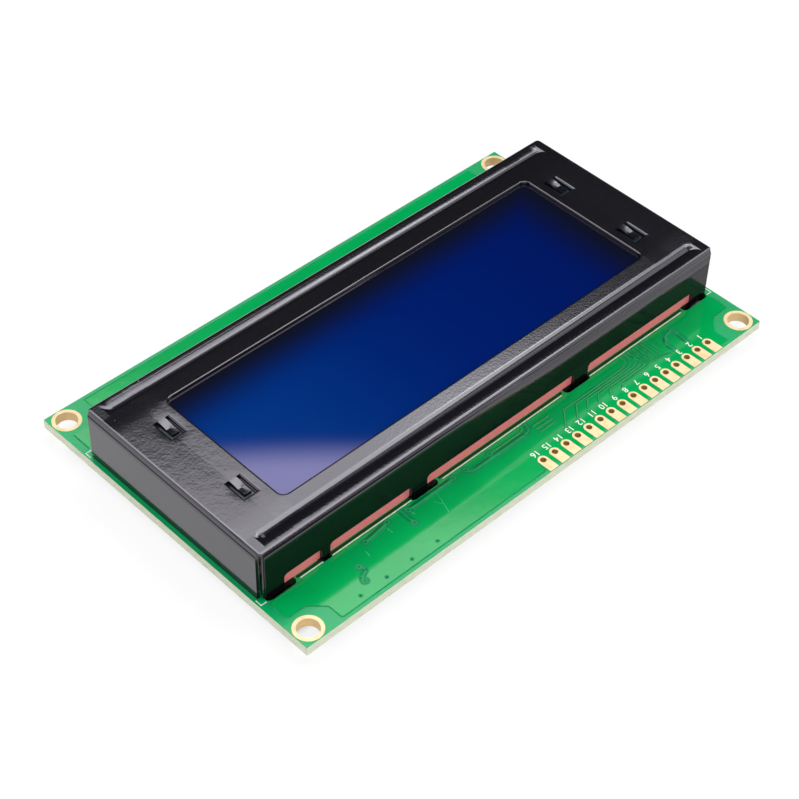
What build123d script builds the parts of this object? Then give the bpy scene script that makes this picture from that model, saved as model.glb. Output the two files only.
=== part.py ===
from build123d import *
import os

# Character LCD module: a green circuit board with a black sheet-steel bezel over the glass.
# Millimetres. +Z comes out of the display, +Y points to the header row, +X is to the reader's right.
# The origin is the middle of the board in plan, on the plane that the epoxy globs rest on.

# Board
BOARD_L = 98.0
BOARD_W = 60.0
BOARD_T = 1.6
GLOB_H = 1.7
PLATING_T = 0.05

# Mounting holes
MOUNT_INSET = 2.5
MOUNT_HOLE_R = 1.75
MOUNT_RING_W = 0.6

# Header row
HEADER_COUNT = 16
HEADER_PITCH = 2.54
HEADER_FIRST_INSET = 10.1
HEADER_INSET = 2.5
HEADER_HOLE_R = 0.5
HEADER_RING_W = 0.37
HEADER_PAD_EDGE = 0.12

# Bezel
BEZEL_END_INSET = 0.7
BEZEL_W = 39.3
BEZEL_H = 9.4
SHEET_T = 0.5
BEND_R = 0.8
CORNER_RELIEF_R = 0.9
WALL_LIFT = 2.5
OPENING_R = 0.7

# Window
WINDOW_END_MARGIN = 10.05
WINDOW_SIDE_MARGIN = 6.55
WINDOW_R = 1.2
WINDOW_LIP_R = 0.22

# Pressed grooves along the bezel's long edges
GROOVE_END_INSET = 2.05
GROOVE_DEPTH = 0.25
GROOVE_OUTER_INSET = 1.05
GROOVE_OUTER_RUN = 1.6
GROOVE_INNER_RUN = 1.1
GROOVE_END_RUN = 1.2

# Lanced tongues that press on the glass
TONGUE_FROM_WINDOW = 3.0
TONGUE_Y = 8.0
TONGUE_OFFSET_Y = -0.25
TONGUE_HOLE_L = 4.1
TONGUE_HOLE_W = 2.5
TONGUE_HOLE_LIP_R = 0.35
TONGUE_W = 1.3
TONGUE_L = 3.4
TONGUE_RAMP = 2.0

# Bezel tabs, their slots in the board and the two locating feet
TAB_W = 3.2
TAB_END_INSET = 1.15
TAB_INNER_X = 19.1
TAB_FOLD_R = 0.3
TAB_FOLD_L = 2.3
TAB_TIP_CUT = 0.7
SLOT_SPARE = 2.1
SLOT_END_GAP = 0.35
SLOT_FRONT_GAP = 0.65
SLOT_BACK_GAP = 0.15
LOCATOR_FROM_TAB = 7.95
LOCATOR_W = 1.6
LOCATOR_GAP = 0.5
LOCATOR_SLOT_W = 1.3

# Liquid crystal cell
GLASS_END_GAP = 2.8
GLASS_T = 1.1
FRONT_GLASS_GAP = 0.15
LEDGE_W = 2.8
POLARIZER_T = 0.2
POLARIZER_END_INSET = 3.0
POLARIZER_SIDE_INSET = 0.4

# Elastomer strips
ELASTOMER_W = 2.4
ELASTOMER_GAP = 0.05
ELASTOMER_END_INSET = 0.5

# Backlight
FRAME_GAP = 0.2
FRAME_FLOOR_T = 1.2
FRAME_WALL = 1.5
REFLECTOR_T = 0.2
DIFFUSER_T = 0.3
GUIDE_GAP = 0.1
LED_COUNT = 4
LED_PITCH = 7.0
LED_DEPTH = 1.2
LED_LENGTH = 3.5
LED_HEIGHT = 2.2
LED_BOARD_T = 1.0
LED_BOARD_MARGIN = 0.6
LEAD_W = 0.5
LEAD_SPACING = 10.0
LEAD_HOLE_GAP = 0.1
LEAD_TAIL = 1.2
LEAD_SOLDER_R = 1.1
LEAD_SOLDER_TOP_R = 0.4
LEAD_SOLDER_H = 0.9

# Epoxy globs over the bare chips on the back
CONTROLLER_R = 7.6
DRIVER_R = 6.9
GLOB_SLOPE_W = 2.8
CONTROLLER_AT = (-25.0, 3.0)
DRIVER_AT = ((3.0, -6.0), (28.0, 3.5))

# Chip resistors and capacitors on the back
CHIP_L = 2.0
CHIP_W = 1.25
CHIP_T = 0.5
CAPACITOR_T = 0.9
TERMINAL_L = 0.4
TERMINAL_T = 0.04
CHIP_SOLDER_L = 0.5
CHIP_SOLDER_SHARE = 0.8
RESISTOR_ROW_X = -31.0
RESISTOR_ROW_GAP = 1.05
RESISTOR_ROW_COUNT = 6
RESISTOR_PITCH = 3.0
LAMP_RESISTOR_X = (36.0, 32.0)
CAPACITOR_AT = ((-9.0, 14.0), (14.5, 9.0), (12.5, -15.0))

BOARD_BOTTOM = GLOB_H
BOARD_TOP = BOARD_BOTTOM + BOARD_T
BEZEL_TOP = BOARD_TOP + BEZEL_H
PLATE_UNDER = BEZEL_TOP - SHEET_T
BEZEL_L = BOARD_L - 2 * BEZEL_END_INSET
WALL_Y = BEZEL_W / 2
WALL_INNER_Y = WALL_Y - SHEET_T
WINDOW_L = BEZEL_L - 2 * WINDOW_END_MARGIN
WINDOW_W = BEZEL_W - 2 * WINDOW_SIDE_MARGIN
GROOVE_L = BEZEL_L - 2 * GROOVE_END_INSET
GROOVE_OUTER_Y = WALL_Y - GROOVE_OUTER_INSET
GROOVE_MIDDLE_Y = GROOVE_OUTER_Y - GROOVE_OUTER_RUN
GROOVE_INNER_Y = GROOVE_MIDDLE_Y - GROOVE_INNER_RUN
TONGUE_X = WINDOW_L / 2 + TONGUE_FROM_WINDOW
TAB_OUTER_X = BEZEL_L / 2 - TAB_END_INSET
TAB_TIP_Y = WALL_INNER_Y - TAB_FOLD_R - TAB_FOLD_L
LOCATOR_X = TAB_OUTER_X - TAB_W - LOCATOR_FROM_TAB
GLASS_L = BEZEL_L - 2 * (SHEET_T + GLASS_END_GAP)
ELASTOMER_L = GLASS_L - 2 * ELASTOMER_END_INSET
FRONT_GLASS_TOP = PLATE_UNDER - GROOVE_DEPTH
FRONT_GLASS_BOTTOM = FRONT_GLASS_TOP - GLASS_T
REAR_GLASS_BOTTOM = FRONT_GLASS_BOTTOM - GLASS_T
CELL_BOTTOM = REAR_GLASS_BOTTOM - POLARIZER_T
FRONT_GLASS_W = 2 * (WALL_INNER_Y - FRONT_GLASS_GAP)
REAR_GLASS_W = FRONT_GLASS_W - 2 * LEDGE_W
ELASTOMER_OUTER_Y = WALL_INNER_Y - ELASTOMER_GAP
ELASTOMER_INNER_Y = ELASTOMER_OUTER_Y - ELASTOMER_W
FRAME_W = 2 * (ELASTOMER_INNER_Y - FRAME_GAP)
FRAME_L = GLASS_L
CAVITY_L = FRAME_L - 2 * FRAME_WALL
CAVITY_W = FRAME_W - 2 * FRAME_WALL
GUIDE_BOTTOM = BOARD_TOP + FRAME_FLOOR_T + REFLECTOR_T
GUIDE_TOP = CELL_BOTTOM - DIFFUSER_T
LED_BOARD_X = CAVITY_L / 2 - GUIDE_GAP - LED_BOARD_T
LED_X = LED_BOARD_X - LED_DEPTH
GUIDE_END_X = LED_X - GUIDE_GAP
MOUNT_X = BOARD_L / 2 - MOUNT_INSET
MOUNT_Y = BOARD_W / 2 - MOUNT_INSET
HEADER_X = -BOARD_L / 2 + HEADER_FIRST_INSET
HEADER_Y = BOARD_W / 2 - HEADER_INSET
SLOT_W = SLOT_BACK_GAP + TAB_FOLD_R + SHEET_T + SLOT_FRONT_GAP
SLOT_Y = WALL_Y + SLOT_FRONT_GAP - SLOT_W / 2
SLOT_L = TAB_W + SLOT_SPARE + SLOT_END_GAP
LOCATOR_SLOT_L = LOCATOR_W + 2 * LOCATOR_GAP
LEAD_HOLE_W = LEAD_W + 2 * LEAD_HOLE_GAP
RESISTOR_ROW_Y = -(TAB_TIP_Y - RESISTOR_ROW_GAP - CHIP_SOLDER_L - CHIP_L / 2)
UP = (Align.CENTER, Align.CENTER, Align.MIN)
PAST = 1.0
NEAR = 1e-3


def slab(length, width, low, high, x=0.0, y=0.0):
    """A plain block between two heights, centred on a point in plan."""
    return Pos(x, y, low) * Box(length, width, high - low, align=UP)


def prism(face, low, high):
    """A sketch drawn in plan, raised between two heights."""
    return Pos(0, 0, low) * extrude(face, high - low)


def four_ways(x, y):
    return [(sx * x, sy * y) for sx in (-1, 1) for sy in (-1, 1)]


def mount_points():
    return four_ways(MOUNT_X, MOUNT_Y)


def header_points():
    return [(HEADER_X + i * HEADER_PITCH, HEADER_Y) for i in range(HEADER_COUNT)]


def lead_points():
    middle = LED_BOARD_X + LED_BOARD_T / 2
    return [(middle, -LEAD_SPACING / 2), (middle, LEAD_SPACING / 2)]


def tab_spans():
    """The low and high x of each tab on one long wall, the same on the other."""
    inner = (TAB_INNER_X - TAB_W, TAB_INNER_X)
    outer = (TAB_OUTER_X - TAB_W, TAB_OUTER_X)
    right = [inner, outer]
    left = [(-high, -low) for low, high in reversed(right)]
    return left + right


def locator_x(side):
    """The locating foot is at the right of the header wall and at the left of the other."""
    return side * LOCATOR_X


def slot_face(side):
    """The board's slots for one long wall: long ones for the tabs, a short one for the foot."""
    face = Sketch()
    for low, high in tab_spans():
        away = 1 if low > 0 else -1
        edge = max(abs(low), abs(high)) + SLOT_END_GAP
        centre = away * (edge - SLOT_L / 2)
        face += Pos(centre, side * SLOT_Y) * SlotOverall(SLOT_L, SLOT_W)
    foot_y = side * (WALL_Y - SHEET_T / 2)
    face += Pos(locator_x(side), foot_y) * SlotOverall(LOCATOR_SLOT_L, LOCATOR_SLOT_W)
    return face


def ring_outline():
    return Circle(MOUNT_HOLE_R + MOUNT_RING_W)


def pad_outline():
    """A header pad, round inside and square at the board's edge, about its hole's centre."""
    pad_r = HEADER_HOLE_R + HEADER_RING_W
    reach = HEADER_INSET - HEADER_PAD_EDGE
    return Circle(pad_r) + Pos(0, reach / 2) * Rectangle(2 * pad_r, reach)


def board():
    face = Rectangle(BOARD_L, BOARD_W)
    for x, y in mount_points():
        face -= Pos(x, y) * ring_outline()
    for x, y in header_points():
        face -= Pos(x, y) * pad_outline()
    for x, y in lead_points():
        face -= Pos(x, y) * Rectangle(LEAD_HOLE_W, LEAD_HOLE_W)
    for side in (-1, 1):
        face -= slot_face(side)
    return prism(face, BOARD_BOTTOM, BOARD_TOP)


def eyelet(outline, hole_r):
    """A plated hole as one eyelet through the board, its lands just proud of both faces."""
    return prism(outline - Circle(hole_r), BOARD_BOTTOM - PLATING_T, BOARD_TOP + PLATING_T)


def mounting_rings():
    ring = eyelet(ring_outline(), MOUNT_HOLE_R)
    return [Pos(x, y) * ring for x, y in mount_points()]


def header_pads():
    pad = eyelet(pad_outline(), HEADER_HOLE_R)
    return [Pos(x, y) * pad for x, y in header_points()]


def groove_space(side, top):
    """One pressed groove's space below a given top: two round flanks that meet in a line, sloping ends."""
    lid = top + PAST
    inner = (side * GROOVE_INNER_Y, top)
    bottom = (side * GROOVE_MIDDLE_Y, top - GROOVE_DEPTH)
    outer = (side * GROOVE_OUTER_Y, top)
    flanks = [TangentArc(inner, bottom, tangent=(side, 0)), TangentArc(outer, bottom, tangent=(-side, 0))]
    cover = Polyline(inner, (inner[0], lid), (outer[0], lid), outer)
    cross_section = extrude(make_face(Plane.YZ * (Curve() + flanks + cover)), GROOVE_L / 2, both=True)
    end = GROOVE_L / 2
    foot = end - GROOVE_END_RUN
    low = top - GROOVE_DEPTH
    along = Polyline((-end, lid), (-end, top), (-foot, low), (foot, low), (end, top), (end, lid), close=True)
    long_section = extrude(make_face(Plane.XZ * along), WALL_Y, both=True)
    return cross_section & long_section


def tongue(x, y):
    """One tongue of the bezel's plate: it curves down from the hole's far end and lies on the glass."""
    root = -TONGUE_HOLE_L / 2
    low = GROOVE_DEPTH
    points = [
        (root - SHEET_T, 0),
        (root, 0),
        (root + TONGUE_RAMP, -low),
        (root + TONGUE_L, -low),
        (root + TONGUE_L, -low - SHEET_T),
        (root + TONGUE_RAMP - SHEET_T / 3, -low - SHEET_T),
        (root, -SHEET_T),
        (root - SHEET_T, -SHEET_T),
    ]
    ramp = TangentArc(points[1], points[2], tangent=(1, 0))
    rest = Polyline(*points[2:], *points[:2])
    face = make_face(Plane.YZ * (ramp + rest))
    return Pos(x, y, BEZEL_TOP) * extrude(face, TONGUE_W / 2, both=True)


def is_tongue_rim(edge, x, y):
    """Whether an edge is one of the hole's upper edges beside or before the tongue about (x, y)."""
    middle = edge.center()
    on_top = abs(middle.Z - BEZEL_TOP) < NEAR
    beside = abs(abs(middle.X - x) - TONGUE_HOLE_W / 2) < NEAR and abs(middle.Y - y) < NEAR
    before = abs(middle.Y - y - TONGUE_HOLE_L / 2) < NEAR and abs(middle.X - x) < NEAR
    return on_top and (beside or before)


def tab(low, high, side):
    """A tab through the board, folded flat against its back towards the middle."""
    inner = WALL_INNER_Y
    back = BOARD_BOTTOM
    under = back - SHEET_T
    outer_r = TAB_FOLD_R + SHEET_T
    points = [
        (side * inner, BOARD_TOP + WALL_LIFT),
        (side * inner, back),
        (side * TAB_TIP_Y, back),
        (side * TAB_TIP_Y, under),
        (side * WALL_Y, under),
        (side * WALL_Y, BOARD_TOP + WALL_LIFT),
    ]
    radii = [TAB_FOLD_R, 0, 0, outer_r]
    line = FilletPolyline(points, radius=radii)
    face = make_face(Plane.YZ * (line + Polyline(points[-1], points[0])))
    folded = Pos((low + high) / 2, 0, 0) * extrude(face, (high - low) / 2, both=True)
    tip = folded.edges().filter_by(Axis.Z).sort_by(lambda e: side * e.center().Y)[:2]
    return chamfer(tip, TAB_TIP_CUT)


def wall_openings(side):
    """The long wall stops above the board between its tabs, with round upper corners."""
    feet = tab_spans() + [(locator_x(side) - LOCATOR_W / 2, locator_x(side) + LOCATOR_W / 2)]
    feet.sort()
    cut = Part()
    for (_, start), (end, _) in zip(feet, feet[1:]):
        width = end - start
        height = WALL_LIFT + PAST + OPENING_R
        face = Plane.XZ * RectangleRounded(width, height, OPENING_R)
        lift = BOARD_TOP + WALL_LIFT - height / 2
        across = Pos((start + end) / 2, side * WALL_Y, lift) * extrude(face, SHEET_T + PAST, both=True)
        cut += across
    return cut


def bezel():
    outer = slab(BEZEL_L, BEZEL_W, BOARD_TOP, BEZEL_TOP)
    outer = fillet(outer.edges().group_by(Axis.Z)[-1], BEND_R)
    inner = slab(BEZEL_L - 2 * SHEET_T, BEZEL_W - 2 * SHEET_T, BOARD_TOP - PAST, PLATE_UNDER)
    inner = fillet(inner.edges().group_by(Axis.Z)[-1], BEND_R - SHEET_T)
    sheet = outer - inner
    for side in (-1, 1):
        bulge = groove_space(side, PLATE_UNDER)
        sheet += bulge & slab(BEZEL_L, BEZEL_W, BOARD_TOP, PLATE_UNDER + SHEET_T / 4)
        sheet -= groove_space(side, BEZEL_TOP)
        sheet -= wall_openings(side)
    window = prism(RectangleRounded(WINDOW_L, WINDOW_W, WINDOW_R), PLATE_UNDER - PAST, BEZEL_TOP + PAST)
    sheet -= window
    for x, y in four_ways(BEZEL_L / 2, BEZEL_W / 2):
        sheet -= Pos(x, y, BOARD_BOTTOM) * Cylinder(CORNER_RELIEF_R, 2 * BEZEL_H, align=UP)
    lip = [
        e
        for e in sheet.edges()
        if abs(e.center().Z - BEZEL_TOP) < NEAR
        and abs(e.center().X) < WINDOW_L / 2 + NEAR
        and abs(e.center().Y) < WINDOW_W / 2 + NEAR
    ]
    sheet = fillet(lip, WINDOW_LIP_R)
    hole = prism(Rectangle(TONGUE_HOLE_W, TONGUE_HOLE_L), PLATE_UNDER - PAST, BEZEL_TOP + PAST)
    for x, y in four_ways(TONGUE_X, TONGUE_Y):
        at = (x, y + TONGUE_OFFSET_Y)
        sheet -= Pos(*at) * hole
        rim = [e for e in sheet.edges() if is_tongue_rim(e, *at)]
        sheet = fillet(rim, TONGUE_HOLE_LIP_R)
        sheet += tongue(*at)
    for side in (-1, 1):
        for low, high in tab_spans():
            sheet += tab(low, high, side)
        foot_y = side * (WALL_Y - SHEET_T / 2)
        sheet += slab(LOCATOR_W, SHEET_T, BOARD_BOTTOM, BOARD_TOP + WALL_LIFT, locator_x(side), foot_y)
    return sheet


def elastomer(side):
    y = side * (ELASTOMER_OUTER_Y - ELASTOMER_W / 2)
    return slab(ELASTOMER_L, ELASTOMER_W, BOARD_TOP, FRONT_GLASS_BOTTOM, 0, y)


def backlight_frame():
    """A white tray: floor, four walls and a pocket for the light guide and the lamp board."""
    tray = slab(FRAME_L, FRAME_W, BOARD_TOP, CELL_BOTTOM)
    tray -= slab(CAVITY_L, CAVITY_W, BOARD_TOP + FRAME_FLOOR_T, CELL_BOTTOM + PAST)
    for x, y in lead_points():
        tray -= slab(LEAD_HOLE_W, LEAD_HOLE_W, BOARD_TOP, BOARD_TOP + FRAME_FLOOR_T, x, y)
    return tray


def guide_sheet(low, high):
    """A layer of the backlight as large as its pocket, up to the lamps."""
    start = -CAVITY_L / 2 + GUIDE_GAP
    length = GUIDE_END_X - start
    return slab(length, CAVITY_W - 2 * GUIDE_GAP, low, high, start + length / 2)


def led_board():
    width = CAVITY_W - 2 * GUIDE_GAP
    low = BOARD_TOP + FRAME_FLOOR_T
    return slab(LED_BOARD_T, width, low, CELL_BOTTOM - LED_BOARD_MARGIN, LED_BOARD_X + LED_BOARD_T / 2)


def led_points():
    first = -(LED_COUNT - 1) * LED_PITCH / 2
    return [first + i * LED_PITCH for i in range(LED_COUNT)]


def led_chips():
    middle = (GUIDE_BOTTOM + GUIDE_TOP) / 2
    low = middle - LED_HEIGHT / 2
    body = slab(LED_DEPTH, LED_LENGTH, low, low + LED_HEIGHT, LED_X + LED_DEPTH / 2)
    return [Pos(0, y) * body for y in led_points()]


def backlight_leads():
    """Two square pins from the lamp board down through the tray and the board."""
    high = BOARD_TOP + FRAME_FLOOR_T
    low = BOARD_BOTTOM - LEAD_TAIL
    return [slab(LEAD_W, LEAD_W, low, high, x, y) for x, y in lead_points()]


def lead_solder():
    """A cone of solder round each pin on the back of the board."""
    cone = Cone(LEAD_SOLDER_TOP_R, LEAD_SOLDER_R, LEAD_SOLDER_H, align=UP)
    cone -= slab(LEAD_W, LEAD_W, 0, LEAD_SOLDER_H)
    return [Pos(x, y, BOARD_BOTTOM - LEAD_SOLDER_H) * cone for x, y in lead_points()]


def glob(radius, at):
    """A poured glob of epoxy, flat in the middle with a sloping rim, hanging from the back of the board."""
    shoulder = (radius - GLOB_SLOPE_W, GLOB_H)
    profile = Polyline((0, 0), (radius, 0), shoulder, (0, GLOB_H), close=True)
    dome = revolve(make_face(Plane.XZ * profile), Axis.Z)
    return Pos(at[0], at[1], BOARD_BOTTOM) * Rot(180, 0, 0) * dome


def chip(thickness):
    """One chip part at the origin, under the plane z = 0: its body, caps and solder."""
    body_l = CHIP_L - 2 * TERMINAL_L
    body = slab(body_l, CHIP_W, -thickness - TERMINAL_T, -TERMINAL_T)
    caps = []
    solder = []
    cap_t = thickness + 2 * TERMINAL_T
    for side in (-1, 1):
        x = side * (CHIP_L - TERMINAL_L) / 2
        caps.append(slab(TERMINAL_L, CHIP_W, -cap_t, 0, x))
        edge = side * CHIP_L / 2
        wedge_h = CHIP_SOLDER_SHARE * cap_t
        wedge = Polyline((edge, 0), (edge + side * CHIP_SOLDER_L, 0), (edge, -wedge_h), close=True)
        face = make_face(Plane.XZ * wedge)
        solder.append(extrude(face, CHIP_W / 2, both=True))
    return body, caps, solder


def resistor_places():
    row = [(RESISTOR_ROW_X + i * RESISTOR_PITCH, RESISTOR_ROW_Y, 90) for i in range(RESISTOR_ROW_COUNT)]
    return row + [(x, TAB_TIP_Y, 0) for x in LAMP_RESISTOR_X]


def capacitor_places():
    return [(x, y, 0) for x, y in CAPACITOR_AT]


def placed(shapes, places):
    return [Pos(x, y, BOARD_BOTTOM) * Rot(0, 0, turn) * s for x, y, turn in places for s in shapes]


def save(name, solids):
    """Writes one sub-part, a single solid or a group of separate ones."""
    solids = solids if isinstance(solids, list) else [solids]
    shape = solids[0] if len(solids) == 1 else Compound(children=[Part() + s for s in solids])
    export_step(shape, f"parts/{name}.step")


def main():
    os.makedirs("parts", exist_ok=True)
    save("board", board())
    save("mounting_rings", mounting_rings())
    save("header_pads", header_pads())
    save("bezel", bezel())

    polarizer_l = GLASS_L - 2 * POLARIZER_END_INSET
    front_polarizer_w = 2 * (GROOVE_INNER_Y - POLARIZER_SIDE_INSET)
    rear_polarizer_w = REAR_GLASS_W - 2 * POLARIZER_SIDE_INSET
    save("front_glass", slab(GLASS_L, FRONT_GLASS_W, FRONT_GLASS_BOTTOM, FRONT_GLASS_TOP))
    save("rear_glass", slab(GLASS_L, REAR_GLASS_W, REAR_GLASS_BOTTOM, FRONT_GLASS_BOTTOM))
    polarizer_top = FRONT_GLASS_TOP + POLARIZER_T
    front_polarizer_l = 2 * (TONGUE_X - TONGUE_W / 2 - POLARIZER_SIDE_INSET)
    save("front_polarizer", slab(front_polarizer_l, front_polarizer_w, FRONT_GLASS_TOP, polarizer_top))
    save("rear_polarizer", slab(polarizer_l, rear_polarizer_w, CELL_BOTTOM, REAR_GLASS_BOTTOM))
    save("elastomer_strip_header_side", elastomer(1))
    save("elastomer_strip_far_side", elastomer(-1))

    save("backlight_frame", backlight_frame())
    save("reflector_sheet", guide_sheet(BOARD_TOP + FRAME_FLOOR_T, GUIDE_BOTTOM))
    save("light_guide", guide_sheet(GUIDE_BOTTOM, GUIDE_TOP))
    save("diffuser_sheet", guide_sheet(GUIDE_TOP, CELL_BOTTOM))
    save("led_board", led_board())
    save("led_chips", led_chips())
    save("backlight_leads", backlight_leads())
    save("lead_solder", lead_solder())

    save("controller_glob", glob(CONTROLLER_R, CONTROLLER_AT))
    save("driver_glob_left", glob(DRIVER_R, DRIVER_AT[0]))
    save("driver_glob_right", glob(DRIVER_R, DRIVER_AT[1]))

    resistor, resistor_caps, resistor_solder = chip(CHIP_T)
    capacitor, capacitor_caps, capacitor_solder = chip(CAPACITOR_T)
    save("chip_resistors", placed([resistor], resistor_places()))
    save("resistor_terminals", placed(resistor_caps, resistor_places()))
    save("chip_capacitors", placed([capacitor], capacitor_places()))
    save("capacitor_terminals", placed(capacitor_caps, capacitor_places()))
    joints = placed(resistor_solder, resistor_places())
    save("chip_solder", joints + placed(capacitor_solder, capacitor_places()))


main()
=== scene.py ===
"""Looks of a character LCD module: board, bezel, liquid crystal window and the parts on the back.

Metres throughout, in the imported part's own frame: +X to the reader's right, +Y towards the header row,
+Z out of the display, z = 0 on the plane that the epoxy globs rest on.
"""

import logging
import math
import random
from dataclasses import dataclass
from enum import Enum
from typing import Iterable, Optional, Sequence, Union

import bmesh
import bpy
from mathutils import Matrix, Vector

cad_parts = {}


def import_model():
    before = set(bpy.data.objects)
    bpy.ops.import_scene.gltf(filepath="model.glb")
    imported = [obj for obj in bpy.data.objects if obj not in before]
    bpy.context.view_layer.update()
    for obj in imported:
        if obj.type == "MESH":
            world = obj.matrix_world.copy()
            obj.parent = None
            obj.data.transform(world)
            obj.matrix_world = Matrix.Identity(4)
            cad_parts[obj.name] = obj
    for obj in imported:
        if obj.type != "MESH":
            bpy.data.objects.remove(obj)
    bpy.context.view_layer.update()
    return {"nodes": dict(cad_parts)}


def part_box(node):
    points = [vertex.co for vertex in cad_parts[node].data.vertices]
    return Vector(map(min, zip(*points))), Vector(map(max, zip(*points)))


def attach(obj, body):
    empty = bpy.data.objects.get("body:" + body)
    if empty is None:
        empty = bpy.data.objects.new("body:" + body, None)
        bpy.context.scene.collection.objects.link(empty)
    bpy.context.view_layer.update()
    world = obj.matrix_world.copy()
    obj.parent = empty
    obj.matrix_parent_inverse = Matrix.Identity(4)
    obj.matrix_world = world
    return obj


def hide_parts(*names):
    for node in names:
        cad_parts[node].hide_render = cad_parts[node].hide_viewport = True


LOG = logging.getLogger("lcd_module")
MM = 0.001
BODY = "root"
PITCH = 2.54  # between the header holes, mm
WINDOW_HALF_L, WINDOW_HALF_W = 38.25, 13.1  # the bezel's window, mm
BEZEL_LINE_Y = 19.92  # the printed lines along the bezel's long walls, mm
OVER_BEZEL_Y = 20.4  # where tracks come out from under the bezel, mm

Material = bpy.types.Material
Point = tuple[float, float]
Colour = tuple[float, float, float]
Tint = tuple[float, float, float, float]
Operand = Union["Value", float]


class Side(Enum):
    """The two faces of the board, as the sign of the face's outward normal along Z."""

    FRONT = 1
    BACK = -1


class Value:
    """One output of a node, so that node maths reads as plain arithmetic."""

    def __init__(self, sheet: "NodeSheet", socket: bpy.types.NodeSocket) -> None:
        """Wraps a socket that belongs to the sheet's tree."""
        self.sheet = sheet
        self.socket = socket

    def maths(self, operation: str, *others: Operand) -> "Value":
        """Adds one Math node.

        Args:
            operation: the Math node's operation.
            others: the operands after this one.

        Returns:
            The node's result.
        """
        operands = dict(enumerate((self, *others)))
        return self.sheet.node("ShaderNodeMath", {"operation": operation}, operands)

    def __add__(self, other: Operand) -> "Value":
        """This plus other."""
        return self.maths("ADD", other)

    __radd__ = __add__

    def __sub__(self, other: Operand) -> "Value":
        """This minus other."""
        return self.maths("SUBTRACT", other)

    def __rsub__(self, other: float) -> "Value":
        """Other minus this."""
        return (self * -1.0) + other

    def __mul__(self, other: Operand) -> "Value":
        """This times other."""
        return self.maths("MULTIPLY", other)

    __rmul__ = __mul__

    def __abs__(self) -> "Value":
        """This without its sign."""
        return self.maths("ABSOLUTE")

    def __lt__(self, other: Operand) -> "Value":
        """One where this is less than other."""
        return self.maths("LESS_THAN", other)

    def __gt__(self, other: Operand) -> "Value":
        """One where this is greater than other."""
        return self.maths("GREATER_THAN", other)

    def ramp(self, low: Operand, high: Operand) -> "Value":
        """A soft step: 0 at low, 1 at high."""
        settings = {"interpolation_type": "SMOOTHSTEP"}
        feeds = {"Value": self, "From Min": low, "From Max": high}
        return self.sheet.node("ShaderNodeMapRange", settings, feeds)

    def band(self, low: float, high: float, soft: float) -> "Value":
        """One between low and high, with edges as wide as soft."""
        half = soft / 2
        return self.ramp(low - half, low + half) * (1.0 - self.ramp(high - half, high + half))

    def within(self, low: float, high: float) -> "Value":
        """This, kept between low and high."""
        return self.maths("MAXIMUM", low).maths("MINIMUM", high)

    def either(self, other: "Value") -> "Value":
        """The larger of this and other."""
        return self.maths("MAXIMUM", other)

    def across(self, other: "Value") -> "Value":
        """The length of the diagonal whose sides are this and other."""
        return (self * self + other * other).maths("SQRT")


Feed = Union[Value, float, Colour, str, None]


class NodeSheet:
    """Makes and links the nodes of one tree."""

    def __init__(self, tree: bpy.types.NodeTree) -> None:
        """Works on an empty tree."""
        self.tree = tree

    def node(
        self,
        kind: str,
        settings: Optional[dict[str, object]] = None,
        feeds: Optional[dict[Union[str, int], Feed]] = None,
        output: Union[str, int] = 0,
    ) -> Value:
        """Makes one node.

        Args:
            kind: the node's type.
            settings: what is set on the node first.
            feeds: values or links for its sockets, by name or number.
            output: the output that is wanted.

        Returns:
            That output.
        """
        made = self.tree.nodes.new(kind)
        for key, value in (settings or {}).items():
            setattr(made, key, value)
        for key, value in (feeds or {}).items():
            self._feed(made.inputs[key], value)
        return Value(self, made.outputs[output] if made.outputs else None)

    def _feed(self, socket: bpy.types.NodeSocket, value: Feed) -> None:
        """Links a value to a socket, or sets the socket's own value."""
        if isinstance(value, Value):
            self.tree.links.new(value.socket, socket)
        elif isinstance(value, tuple) and len(value) == 3 and socket.type == "RGBA":
            socket.default_value = (*value, 1.0)
        else:
            socket.default_value = value


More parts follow.
